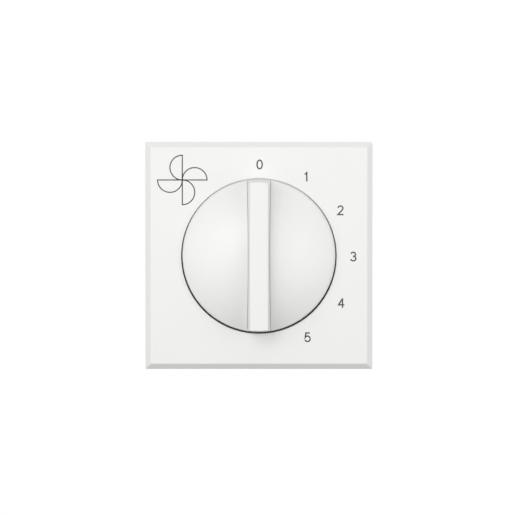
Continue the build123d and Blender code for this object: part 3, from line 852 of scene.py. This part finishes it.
@dataclass
class Dial:
    """Print on the face plate: the numbers round the knob and the fan sign."""

    face: float
    film: float = 0.012 * MM
    figure_height: float = 1.98 * MM
    figure_line: float = 0.27 * MM
    ring_radius: float = 18.36 * MM
    ring_right: float = 0.3 * MM
    ring_up: float = -0.33 * MM
    ring_turn: float = math.radians(-0.5)
    step: float = math.radians(30)
    figures: str = "012345"
    fan_right: float = -15.14 * MM
    fan_up: float = 14.97 * MM
    blade: float = 4.89 * MM
    line: float = 0.22 * MM
    blades: int = 4

    @classmethod
    def from_frame(cls) -> "Dial":
        """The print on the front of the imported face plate."""
        low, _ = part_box("face_plate")
        return cls(face=-low.y)

    def numbers(self) -> bpy.types.Object:
        """The figures 0 to 5, upright, clockwise from the top.

        Returns:
            All the figures as one object.
        """
        made = []
        for count, sign in enumerate(self.figures):
            piece = figure(sign, self.figure_height, self.figure_line, self.film)
            angle = self.ring_turn + count * self.step
            right = self.ring_right + self.ring_radius * math.sin(angle)
            up = self.ring_up + self.ring_radius * math.cos(angle)
            piece.location = place(right, up, self.face)
            settle(piece)
            made.append(piece)
        return join(made, "dial_figures")

    def fan_blade(self, turn: float) -> bpy.types.Object:
        """One blade of the fan sign in outline: a half disc with its straight side through the hub.

        Args:
            turn: angle clockwise from the upper blade.

        Returns:
            The new object.
        """
        radius = (self.blade + self.line) / 2
        bpy.ops.mesh.primitive_circle_add(vertices=ROUND_SIDES, radius=radius, fill_type="NGON")
        piece = bpy.context.object
        with editing(piece):
            bpy.ops.mesh.select_all(action="SELECT")
            bpy.ops.mesh.bisect(
                plane_co=(self.line / 2, 0, 0), plane_no=(1, 0, 0), clear_outer=True, threshold=WELD)
            select_faces(piece, lambda face: True)
            bpy.ops.mesh.inset(thickness=self.line, use_even_offset=True)
            bpy.ops.mesh.delete(type="FACE")
            bpy.ops.mesh.select_all(action="SELECT")
            bpy.ops.mesh.extrude_region_move(TRANSFORM_OT_translate={"value": (0, 0, self.film)})
            bpy.ops.mesh.select_all(action="SELECT")
            bpy.ops.mesh.normals_make_consistent(inside=False)
        piece.location = (0, self.blade / 2, 0)
        settle(piece)
        piece.rotation_euler = (0, 0, -turn)
        settle(piece)
        piece.rotation_euler = (math.pi / 2, 0, 0)
        settle(piece)
        return piece

    def fan_sign(self) -> bpy.types.Object:
        """The sign of a four-blade fan.

        Returns:
            The sign as one object.
        """
        made = [self.fan_blade(count * math.tau / self.blades) for count in range(self.blades)]
        sign = join(made, "fan_sign")
        sign.location = place(self.fan_right, self.fan_up, self.face)
        settle(sign)
        return sign

    def build(self) -> None:
        """Print the dial on the fixed body."""
        hand_over(self.numbers(), PRINT_INK, Body.FIXED)
        hand_over(self.fan_sign(), PRINT_INK, Body.FIXED)


@dataclass
class FacePlate:
    """White square plate with a bevelled rim and the knob's well."""

    node: str = "face_plate"
    # The wall of the well and its rounded mouth, by their distance from the spindle
    well_radius: float = 15.42 * MM
    well_slack: float = 0.1 * MM
    well_down: float = 0.1 * MM

    def in_well(self, face: bmesh.types.BMFace) -> bool:
        """Whether a face is on the wall of the knob's well or on its rounded mouth."""
        reaches = [math.hypot(spot.co.x, spot.co.z) for spot in face.verts]
        return all(abs(reach - self.well_radius) < self.well_slack for reach in reaches)

    def build(self) -> None:
        """Weld the plate's faces together, set the well a little lower and smooth the roundings."""
        piece = weld_copy(self.node, "face_plate_moulding")
        with editing(piece):
            select_faces(piece, self.in_well)
            bpy.ops.transform.translate(value=place(0, -self.well_down, 0))
        smooth(piece)
        hand_over(piece, WHITE_MOULDING, Body.FIXED, self.node)


@dataclass
class WallBody:
    """Grey moulded body behind the plate: housing, rear cover and the screws that show."""

    edge: float = 0.15 * MM
    screw_edge: float = 0.12 * MM
    mark_height: float = 2.2 * MM
    mark_line: float = 0.3 * MM
    mark_depth: float = 0.15 * MM
    mark_gap: float = 4.6 * MM

    def marks(self) -> list[bpy.types.Object]:
        """Engraved terminal marks: a speed's figure, or L for the live wire, beside each entry.

        Returns:
            Cutting shapes that reach into the rear cover.
        """
        made = []
        _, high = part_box("rear_cover")
        for mount in frame["record"]["mounts"]:
            if not mount["name"].startswith("wire_entry_"):
                continue
            word = mount["name"].rsplit("_", 1)[1]
            sign = "L" if word == "live" else word
            tool = figure(sign, self.mark_height, self.mark_line, 2 * self.mark_depth)
            right, _, up = mount["pos_m"]
            tool.rotation_euler = (0, 0, math.pi)
            tool.location = (right, high.y - self.mark_depth, up - math.copysign(self.mark_gap, up))
            settle(tool)
            made.append(tool)
        return made

    def build(self) -> None:
        """Soften the mouldings and screws and engrave the terminal marks."""
        housing = weld_copy("housing", "housing_moulding")
        soften(housing, self.edge)
        smooth(housing)
        hand_over(housing, GREY_MOULDING, Body.FIXED, "housing")
        cover = weld_copy("rear_cover", "rear_cover_moulding")
        for tool in self.marks():
            carve(cover, tool)
        smooth(cover)
        hand_over(cover, GREY_MOULDING, Body.FIXED, "rear_cover")
        for node in ("cover_screws", "terminal_screws"):
            screws = weld_copy(node, node + "_turned")
            soften(screws, self.screw_edge)
            smooth(screws)
            hand_over(screws, PLATED_STEEL, Body.FIXED, node)


@dataclass
class Works:
    """Switch works inside the body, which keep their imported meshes."""

    finishes: tuple[Finish, ...] = (
        WHITE_MOULDING, GREY_MOULDING, BLACK_MOULDING, LAMINATE, PLATED_STEEL, SPRING_STEEL, DIE_CASTING,
        BRASS, BRONZE)

    def build(self) -> None:
        """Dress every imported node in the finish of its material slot."""
        by_slot = {finish.slot.value: finish for finish in self.finishes}
        for subpart in frame["record"]["subparts"]:
            dress(frame["nodes"][subpart["node"]], by_slot[subpart["material_slot"]])


@dataclass(frozen=True)
class Lamp:
    """Large soft round lamp: where it stands, as a direction from the switch, and its power in watts."""

    way: tuple[float, float, float]
    power: float
    far: float = 1.2
    size: float = 0.9

    def build(self) -> None:
        """Set up the lamp so that it looks at the switch."""
        way = Vector(self.way).normalized()
        bpy.ops.object.light_add(type="AREA", location=way * self.far)
        lamp = bpy.context.object
        lamp.data.shape = "DISK"
        lamp.data.size = self.size
        lamp.data.energy = self.power
        lamp.rotation_euler = way.to_track_quat("Z", "Y").to_euler()


@dataclass
class Studio:
    """Camera in front and a little above, even light from all round, a key lamp and three soft lamps."""

    view_width: float = 101.86 * MM
    camera_right: float = -0.28 * MM
    camera_up: float = -0.36 * MM
    camera_far: float = 592 * MM
    camera_tilt: float = math.radians(1.7)
    camera_reach: float = 10.0
    sensor: float = 36.0
    lamps: tuple[Lamp, ...] = (
        Lamp((-0.25, -0.92, 0.3), 2.8, size=0.5),
        Lamp((-0.64, -0.77, 0.0), 3.2),
        Lamp((0.64, -0.77, 0.0), 3.3),
        Lamp((0.5, 0.75, 0.45), 8.0))
    around: float = 0.54
    floor_level: float = -66 * MM
    floor_radius: float = 85 * MM
    floor_colour: str = "#767674"
    floor_glow: float = 0.8

    def seen(self, tree: bpy.types.NodeTree) -> bpy.types.NodeSocket:
        """One where the camera, a reflection or clear glass looks, else nought.

        Args:
            tree: the tree that gets the nodes.

        Returns:
            The socket with that value.
        """
        path = add_node(tree, "ShaderNodeLightPath")
        either = add_node(tree, "ShaderNodeMath", {
            0: path.outputs["Is Camera Ray"], 1: path.outputs["Is Glossy Ray"]}, operation="MAXIMUM")
        return add_node(tree, "ShaderNodeMath", {
            0: either.outputs[0], 1: path.outputs["Is Transmission Ray"]}, operation="MAXIMUM").outputs[0]

    def world(self) -> None:
        """Even light from all round behind a white background."""
        world = bpy.data.worlds.new("studio")
        bpy.context.scene.world = world
        world.use_nodes = True
        tree = world.node_tree
        tree.nodes.clear()
        level = add_node(tree, "ShaderNodeMapRange", {
            "Value": self.seen(tree), "To Min": self.around, "To Max": 1.0})
        light = add_node(tree, "ShaderNodeBackground", {
            "Color": WHITE, "Strength": level.outputs["Result"]})
        add_node(tree, "ShaderNodeOutputWorld", {"Surface": light.outputs[0]})

    def floor(self) -> None:
        """Pale round floor below the switch, which keeps its shadow."""
        bpy.ops.mesh.primitive_circle_add(
            vertices=ROUND_SIDES, radius=self.floor_radius, fill_type="NGON",
            location=(0, 0, self.floor_level))
        floor = bpy.context.object
        floor.name = "studio_floor"
        material = bpy.data.materials.new("studio_floor_paint")
        material.use_nodes = True
        tree = material.node_tree
        tree.nodes.clear()
        paint = add_node(tree, "ShaderNodeBsdfDiffuse", {"Color": linear(self.floor_colour)})
        level = add_node(tree, "ShaderNodeMath", {
            0: self.seen(tree), 1: self.floor_glow}, operation="MULTIPLY")
        glow = add_node(tree, "ShaderNodeEmission", {"Strength": level.outputs[0]})
        both = add_node(tree, "ShaderNodeAddShader", {0: paint.outputs[0], 1: glow.outputs[0]})
        add_node(tree, "ShaderNodeOutputMaterial", {"Surface": both.outputs[0]})
        floor.data.materials.append(material)

    def camera(self, face: float) -> None:
        """Long lens in front of the plate, a little above its middle.

        Args:
            face: how far out of the wall the plate's front is.
        """
        aim = place(self.camera_right, self.camera_up, face)
        back = place(0, math.sin(self.camera_tilt), math.cos(self.camera_tilt))
        bpy.ops.object.camera_add(
            location=aim + self.camera_far * back, rotation=(math.pi / 2 - self.camera_tilt, 0, 0))
        camera = bpy.context.object
        camera.data.sensor_width = self.sensor
        camera.data.lens = self.sensor * self.camera_far / self.view_width
        camera.data.clip_end = self.camera_reach
        bpy.context.scene.camera = camera

    def build(self, face: float) -> None:
        """Set up background, floor, lamps and camera.

        Args:
            face: how far out of the wall the plate's front is.
        """
        self.world()
        self.floor()
        for lamp in self.lamps:
            lamp.build()
        self.camera(face)
        bpy.context.scene.view_settings.view_transform = "Standard"


def main() -> None:
    """Build the switch's pieces in order, then the studio."""
    logging.basicConfig(level=logging.INFO, format="%(name)s %(message)s")
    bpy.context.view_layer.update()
    Works().build()
    FacePlate().build()
    knob = Knob.from_frame()
    knob.build()
    Dial.from_frame().build()
    WallBody().build()
    Studio().build(knob.face)


if __name__ == "__main__":
    main()
